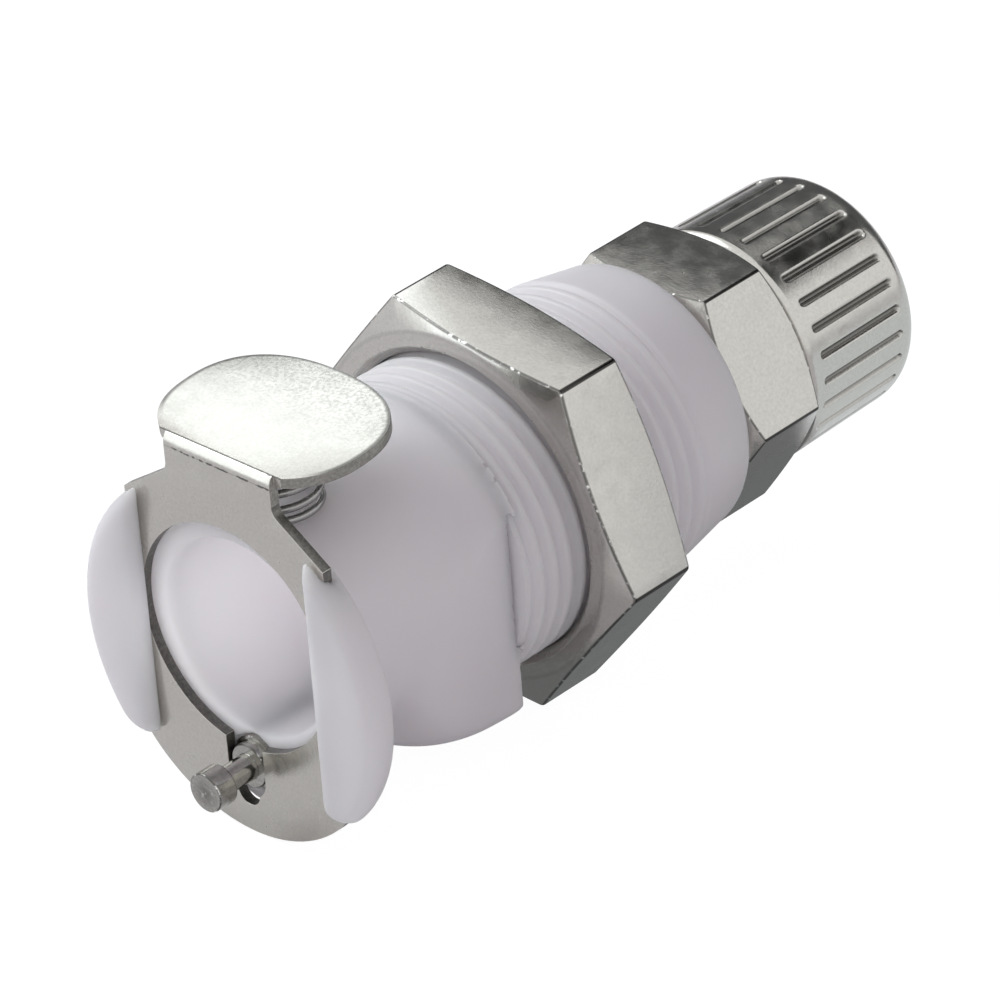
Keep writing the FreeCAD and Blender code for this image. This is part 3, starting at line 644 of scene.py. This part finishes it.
def coilPiece(name, node, turnSteps=40, wireSteps=16, closed=(0.75, 1.25)):
    # A compression spring. The centre line is (R cos a, R sin a, h), where h rises by a wire each turn in the
    # closed end turns and evenly in between, and a circle of the wire's radius is carried along it. The angle
    # a starts at startTurn. Closed is where an end turn lets go, in turns from the end.
    radius, wire, turns, axis, centre, startTurn = (coils[name][key] for key in (
        "radius", "wire", "turns", "axis", "centre", "startTurn"))
    low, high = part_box(node)
    along = 2 if axis == "z" else 1
    bottom, top = low[along] / mm + wire / 2, high[along] / mm - wire / 2
    steps = int(turns * turnSteps)
    t = np.linspace(0, turns, steps)
    rate = stepUp(*closed, t) * (1 - stepUp(turns - closed[1], turns - closed[0], t))
    free = np.cumsum(rate) * (t[1] - t[0])
    pitch = (top - bottom - wire * (turns - free[-1])) / free[-1]
    height = bottom + np.cumsum(pitch * rate + wire * (1 - rate)) * (t[1] - t[0])
    height = bottom + (height - height[0]) * (top - bottom) / (height[-1] - height[0])
    a = 2 * math.pi * (t + startTurn)
    b = np.linspace(0, 2 * math.pi, wireSteps, endpoint=False)
    thick = np.full(steps, wire / 2)
    thick[0] = thick[-1] = 0.0
    reach = radius + thick[:, None] * np.cos(b)
    lift = height[:, None] + thick[:, None] * np.sin(b)
    first, second = reach * np.cos(a)[:, None], reach * np.sin(a)[:, None]
    if axis == "z":
        points = np.stack([centre[0] + first, centre[1] + second, lift], axis=-1)
    else:
        points = np.stack([centre[0] + first, lift, centre[1] + second], axis=-1)
    piece = gridPiece(name, points)
    smoothShade(piece, sharpDegrees=60)
    give(piece, springSteel)
    start, end = Vector((0, 0, 0)), Vector((0, 0, 0))
    start[along], end[along] = low[along], high[along]
    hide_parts(node)
    return piece, start, end


def springs():
    # The three springs, each made to fill its CAD node's box.
    piece, start, end = coilPiece("latchSpring", "latch_spring")
    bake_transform(piece)
    piece, start, end = coilPiece("lockPinSpring", "lock_pin_spring")
    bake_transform(piece)
    piece, start, end = coilPiece("valveSpring", "valve_spring")
    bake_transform(piece)


thumbLatch()
lockPin()
springs()
print("latch made")


# Nuts and adapter

panelNutSize = {"acrossFlats": 25.4, "corner": 0.42, "turn": -8.5, "bore": 10.68, "chamfer": 0.6,
                "faceShare": 0.97, "cone": 15.0, "edge": 0.2, "boreEdge": 0.1, "faceWear": 0.15}


def hexPiece(name, size, front, rear, inner, innerRadii, steps=5, drop=0.13, sideDepth=0.02):
    # A hex and what is inside it, as one soft outline for each direction of the ring: front face, cone, side,
    # cone and rear face, and after them the inner outline. The corner mask is for the sides, down to sideDepth
    # inside them. It falls from 1 in the middle of a rounded corner to 0 at its ends, where the ring is nearer
    # to the axis by the drop times the corner's radius.
    ring = roundedHex(size["acrossFlats"], size["corner"], size["turn"])
    reach = np.linalg.norm(ring, axis=-1)
    faceRadius = size["acrossFlats"] / 2 * size["faceShare"]
    rise = (reach - faceRadius) * math.tan(math.radians(size["cone"]))
    flat = np.ones_like(reach)
    loop = [(faceRadius * flat, front * flat), (reach, front + rise), (reach, rear - rise),
            (faceRadius * flat, rear * flat)] + [(radius * flat, y * flat) for radius, y in inner]
    corners = np.stack([np.stack(pair, axis=-1) for pair in loop], axis=-2)
    radii = [size["edge"]] * 4 + innerRadii
    wear = [size["faceWear"], 1, 1, size["faceWear"]] + [0] * len(inner)
    outline, mask = softLoop(corners, radii, wear, steps)
    direction = ring / reach[:, None]
    x = outline[..., 0] * direction[:, None, 0]
    z = outline[..., 0] * direction[:, None, 1]
    points = np.stack([x, outline[..., 1], z], axis=-1)
    corner = np.clip(1 - (reach.max() - reach) / (drop * size["corner"]), 0, 1)[:, None]
    corner = corner * (outline[..., 0] > reach[:, None] - sideDepth)
    return gridPiece(name, points, alongClosed=True, masks={"edgeNear": mask, "cornerNear": corner})


def panelNut():
    # The panel nut: hex with a low cone at each face and a chamfered bore.
    size = panelNutSize
    low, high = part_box("panel_nut")
    front, rear = low.y / mm, high.y / mm
    bore, wide = size["bore"], size["bore"] + size["chamfer"]
    inner = [(wide, rear), (bore, rear - size["chamfer"]), (bore, front + size["chamfer"]), (wide, front)]
    piece = hexPiece("panelNut", size, front, rear, inner, [size["boreEdge"]] * len(inner))
    smoothShade(piece, sharpDegrees=40)
    give(piece, nickelPlate)
    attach(piece, "panel_nut_body")
    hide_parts("panel_nut")


adapterSize = {"acrossFlats": 17.46, "corner": 0.3, "turn": -2.0, "hexStart": 22.0, "hexEnd": 29.2,
               "cone": 30.0, "faceShare": 0.97, "edge": 0.14, "faceWear": 0.15,
               "rearThread": 6.6, "rearLength": 6.2, "rearEnd": 6.1, "chamfer": 0.5, "nippleRoot": 3.9,
               "nippleTip": 3.05, "passage": 2.4, "springSeat": 4.7, "seatDepth": 1.0, "frontThread": 6.4,
               "frontEnd": 5.9, "small": 0.1, "tight": 0.05, "rootRound": 0.15}


def tubeAdapter():
    # The adapter: front thread, hex, rear thread and the tapered nipple, with its passage.
    size = adapterSize
    low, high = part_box("tube_adapter")
    front, tip = low.y / mm, high.y / mm
    hexStart, hexEnd = size["hexStart"], size["hexEnd"]
    rear, seat = hexEnd + size["rearLength"], front + size["seatDepth"]
    rearThread, frontThread, bore = size["rearThread"], size["frontThread"], size["passage"]
    inner = [(rearThread, hexEnd), (rearThread, rear - size["chamfer"]), (size["rearEnd"], rear),
             (size["nippleRoot"], rear), (size["nippleTip"], tip), (bore, tip), (bore, seat),
             (size["springSeat"], seat), (size["springSeat"], front), (size["frontEnd"], front),
             (frontThread, front + size["chamfer"]), (frontThread, hexStart)]
    small, tight = size["small"], size["tight"]
    innerRadii = [tight, small, small, small, size["rootRound"], small, small, tight, small, small, small, tight]
    piece = hexPiece("tubeAdapter", size, hexStart, hexEnd, inner, innerRadii)
    smoothShade(piece, sharpDegrees=40)
    give(piece, adapterPlate)
    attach(piece, "coupling_body")
    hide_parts("tube_adapter")


fluteSize = {"count": 28, "width": 0.52, "depth": 0.34, "start": 1.3, "length": 8.1, "edge": 0.16,
             "outerEdge": 0.4, "radius": 8.6, "endRadius": 8.42, "shoulder": 1.6, "frontChamfer": 0.35,
             "hole": 4.85, "mouthChamfer": 0.2, "threadBore": 6.68, "coneGap": 0.1, "coneLength": 3.0,
             "rows": 104, "rowGap": 0.3, "shoulderRows": 12, "stepsPerFlute": 22}


def compressionNut():
    # The fluted nut. Its radius is the collar's taper less the depth times m. m is 1 inside a capsule of the
    # flute's width, as long as the flute, and falls to 0 over a soft edge. The tube's cone starts behind the
    # adapter's rear thread.
    size = fluteSize
    low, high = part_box("compression_nut")
    front, rear = low.y / mm, high.y / mm
    shoulderStart = rear - size["shoulder"]
    collarStart = front + size["frontChamfer"]
    y = np.concatenate([[front, collarStart],
                        np.linspace(collarStart + size["rowGap"], shoulderStart, size["rows"])])
    taper = np.interp(y, [front, collarStart, shoulderStart],
                      [size["radius"] - size["frontChamfer"], size["radius"], size["endRadius"]])
    columns = size["count"] * size["stepsPerFlute"]
    angle = np.linspace(0, 2 * math.pi, columns, endpoint=False)
    turn = 2 * math.pi / size["count"]
    offset = ((angle / turn + 0.5) % 1.0 - 0.5) * turn * size["radius"]
    half = size["width"] / 2
    first, last = front + size["start"] + half, front + size["start"] + size["length"] - half
    beyond = np.maximum(np.maximum(first - y, y - last), 0)
    away = np.hypot(offset[None, :], beyond[:, None])
    groove = 1 - stepUp(half - size["edge"], half + size["edge"] * size["outerEdge"], away)
    radius = taper[:, None] - size["depth"] * groove
    bend = np.radians(np.linspace(0, 90, size["shoulderRows"]))[1:]
    ends = size["endRadius"] - size["shoulder"] * (1 - np.cos(bend))
    endsY = shoulderStart + size["shoulder"] * np.sin(bend)
    coneStart = adapterSize["hexEnd"] + adapterSize["rearLength"] + size["coneGap"]
    hole, mouth, threadBore = size["hole"], size["mouthChamfer"], size["threadBore"]
    insideRadius = [hole + mouth, hole, hole, threadBore, threadBore]
    insideY = [rear, rear - mouth, coneStart + size["coneLength"], coneStart, front]
    ring = np.concatenate([radius, np.repeat(np.concatenate([ends, insideRadius])[:, None], columns, axis=1)])
    along = np.concatenate([y, endsY, insideY])
    # The grooves' mask, which darkens the nut's colour in its flutes as painted shade.
    grooveShade = np.concatenate([groove, np.zeros((len(ring) - len(y), columns))])
    piece = gridPiece("compressionNut", roundAxis(ring, along[:, None], angle), alongClosed=True,
                      masks={"grooveShadeNear": grooveShade})
    smoothShade(piece, sharpDegrees=50)
    give(piece, nickelPlate)
    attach(piece, "tube_nut_body")
    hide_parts("compression_nut")


panelNut()
tubeAdapter()
compressionNut()
give(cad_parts["valve_poppet"], valveWhite)
give(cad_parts["valve_seal"], sealRubber)
give(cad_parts["adapter_seal"], sealRubber)
print("nuts, adapter and valve made")


# Studio

studio = {"floorZ": -14.0, "floorSize": 1600.0, "floorColour": (0.91, 0.90, 0.91, 1), "cameraGlow": 0.86,
          "glowStrength": 1.12, "mirrorGlow": 0.12, "skyFill": (0.40, 0.38, 0.395, 1), "skyWhite": 1.0,
          "keyPlace": (-410, -120, 430), "keyTarget": (0, 5, 0), "keySize": 350, "keyPower": 1.75,
          "keyColour": (0.92, 0.97, 1.0), "cardColour": (0.945, 0.99, 1.01, 1),
          "socketMiddle": (0, -17.4, 0), "socketLine": (0.5, -0.82, 0.2), "socketReach": 200.0,
          "socketCone": 4.6, "socketLamp": 2, "socketPower": 0.95}

# Cards that only reflections see, and which paint light and shade into them. The dark cards paint dark reflections,
# the two bright cards glow for the highlights on the latch's pad and bend, the dark card on the floor under the
# object is a painted shadow, and the pale card on the floor to the right and behind is a painted patch of lit floor.
# Each has a middle, the ends of its two half sides from there, and a tone.
cards = {
    # Dark cards that paint dark reflections on the metal.
    "greyCard": {"middle": (-75, 125, 61), "sides": ((115, 0, 0), (0, 0, 61)), "tone": 0.12},
    "darkStrip": {"middle": (49, 124, 134), "sides": ((37, 0, 0), (0, 0, 44)), "tone": 0.015},
    # Glowing cards that paint the bright reflections on the latch's pad and its bend.
    "padCard": {"middle": (-30.5, 15, 44), "sides": ((10.4, 12.2, 0), (-7.3, 6.2, -12.8)), "tone": 1.9},
    "bendCard": {"middle": (-36.5, -51, 27), "sides": ((15.2, -13, 0), (0, 10.6, 27.2)), "tone": 1.9},
    # Painted shadow of the floor under the object, seen only in reflections.
    "paintedFloorShadowCard": {"middle": (-12, 18, -13.95), "sides": ((28, 0, 0), (0, 20, 0)), "tone": 0.2},
    # Painted light: a lit patch of floor, seen only in reflections.
    "paintedFloorLightCard": {"middle": (65, 90, -13.95), "sides": ((75, 0, 0), (0, 51, 0)), "tone": 0.8},
}


def glowShare(tree, cameraShare, mirrorShare):
    # How much plain white a ray sees: max(max(camera, transmission) * cameraShare, glossy * mirrorShare).
    rays = addNode(tree, "ShaderNodeLightPath")
    seen = maths(tree, "MAXIMUM", rays.outputs["Is Camera Ray"], rays.outputs["Is Transmission Ray"])
    straight = maths(tree, "MULTIPLY", seen, cameraShare)
    mirrored = maths(tree, "MULTIPLY", rays.outputs["Is Glossy Ray"], mirrorShare)
    return maths(tree, "MAXIMUM", straight, mirrored)


def emptyMaterial(name):
    # A material without nodes, and its tree.
    material = bpy.data.materials.new(name)
    material.use_nodes = True
    material.node_tree.nodes.clear()
    return material, material.node_tree


def studioFloor():
    # A pale floor. To the camera it is mostly plain white, and keeps the object's shadow.
    half, z = studio["floorSize"], studio["floorZ"]
    corners = np.array([[[-half, -half, z], [half, -half, z]], [[-half, half, z], [half, half, z]]], float)
    floor = gridPiece("studioFloor", corners, aroundClosed=False)
    material, tree = emptyMaterial("floorPaper")
    share = glowShare(tree, studio["cameraGlow"], studio["mirrorGlow"])
    paper = addNode(tree, "ShaderNodeBsdfDiffuse", inputs={"Color": studio["floorColour"]})
    glow = addNode(tree, "ShaderNodeEmission", inputs={"Strength": studio["glowStrength"]})
    mix = addNode(tree, "ShaderNodeMixShader", inputs={0: share, 1: paper.outputs[0], 2: glow.outputs[0]})
    addNode(tree, "ShaderNodeOutputMaterial", inputs={"Surface": mix.outputs[0]})
    give(floor, material)


def studioSky():
    # White to the camera and in reflections, and a plain grey fill on matt surfaces.
    world = bpy.data.worlds.new("studioSky")
    bpy.context.scene.world = world
    world.use_nodes = True
    tree = world.node_tree
    tree.nodes.clear()
    share = glowShare(tree, 1.0, 1.0)
    fill = addNode(tree, "ShaderNodeBackground", inputs={"Color": studio["skyFill"]})
    bright = addNode(tree, "ShaderNodeBackground", inputs={"Color": (1, 1, 1, 1), "Strength": studio["skyWhite"]})
    mix = addNode(tree, "ShaderNodeMixShader", inputs={0: share, 1: fill.outputs[0], 2: bright.outputs[0]})
    addNode(tree, "ShaderNodeOutputWorld", inputs={"Surface": mix.outputs[0]})


def reflectedCard(name, card):
    # A flat card of a plain tone: middle plus and minus its two half sides.
    middle, first, second = (np.array(value, float) for value in (card["middle"], *card["sides"]))
    corners = np.array([[middle - first - second, middle + first - second],
                        [middle - first + second, middle + first + second]])
    sheet = gridPiece(name, corners, aroundClosed=False)
    material, tree = emptyMaterial(name + "Tone")
    glow = addNode(tree, "ShaderNodeEmission", inputs={"Color": studio["cardColour"], "Strength": card["tone"]})
    addNode(tree, "ShaderNodeOutputMaterial", inputs={"Surface": glow.outputs[0]})
    give(sheet, material)
    sheet.visible_camera = sheet.visible_diffuse = sheet.visible_shadow = False
    sheet.visible_transmission = sheet.visible_volume_scatter = False


def newLamp(name, light, place, back):
    # Places a light at a point in millimetres. It shines away from the direction back.
    lamp = bpy.data.objects.new(name, light)
    bpy.context.scene.collection.objects.link(lamp)
    lamp.location = Vector(place) * mm
    lamp.rotation_euler = back.to_track_quat("Z", "Y").to_euler()
    return lamp


def keyLamp():
    # A square softbox that faces its target.
    light = bpy.data.lights.new("keyLamp", "AREA")
    light.shape = "SQUARE"
    light.size = studio["keySize"] * mm
    light.energy = studio["keyPower"]
    light.color = studio["keyColour"]
    newLamp("keyLamp", light, studio["keyPlace"], Vector(studio["keyPlace"]) - Vector(studio["keyTarget"]))


def socketSpot():
    # A narrow spot that shines into the socket, for the light that real acetal lets through its walls.
    light = bpy.data.lights.new("socketSpot", "SPOT")
    light.energy = studio["socketPower"]
    light.spot_size = math.radians(studio["socketCone"])
    light.spot_blend = 1.0
    light.shadow_soft_size = studio["socketLamp"] * mm
    line = Vector(studio["socketLine"]).normalized()
    lamp = newLamp("socketSpot", light, Vector(studio["socketMiddle"]) + line * studio["socketReach"], line)
    lamp.visible_glossy = False


cameraPlace = {"position": (283.56, -271.98, 238.82), "azimuth": 45.35, "elevation": 31.06, "roll": -4.50,
               "focalPixels": 7164.5, "framePixels": 1000, "sensor": 36.0, "nearest": 0.01}


def studioCamera():
    # The camera looks along the photograph's line: back = (sin a cos e, -cos a cos e, sin e), then rolled.
    a, e, r = (math.radians(cameraPlace[key]) for key in ("azimuth", "elevation", "roll"))
    back = Vector((math.sin(a) * math.cos(e), -math.cos(a) * math.cos(e), math.sin(e)))
    level = Vector((math.cos(a), math.sin(a), 0))
    rise = back.cross(level)
    right = math.cos(r) * level + math.sin(r) * rise
    up = back.cross(right)
    data = bpy.data.cameras.new("studioCamera")
    data.sensor_width = cameraPlace["sensor"]
    data.lens = cameraPlace["focalPixels"] / cameraPlace["framePixels"] * cameraPlace["sensor"]
    data.clip_start = cameraPlace["nearest"]
    camera = bpy.data.objects.new("studioCamera", data)
    bpy.context.scene.collection.objects.link(camera)
    turn = Matrix((right, up, back)).transposed().to_4x4()
    turn.translation = Vector(cameraPlace["position"]) * mm
    camera.matrix_world = turn
    bpy.context.scene.camera = camera


studioFloor()
studioSky()
for cardName, card in cards.items():
    reflectedCard(cardName, card)
keyLamp()
socketSpot()
studioCamera()
bpy.context.scene.view_settings.view_transform = "Standard"
print("studio made")
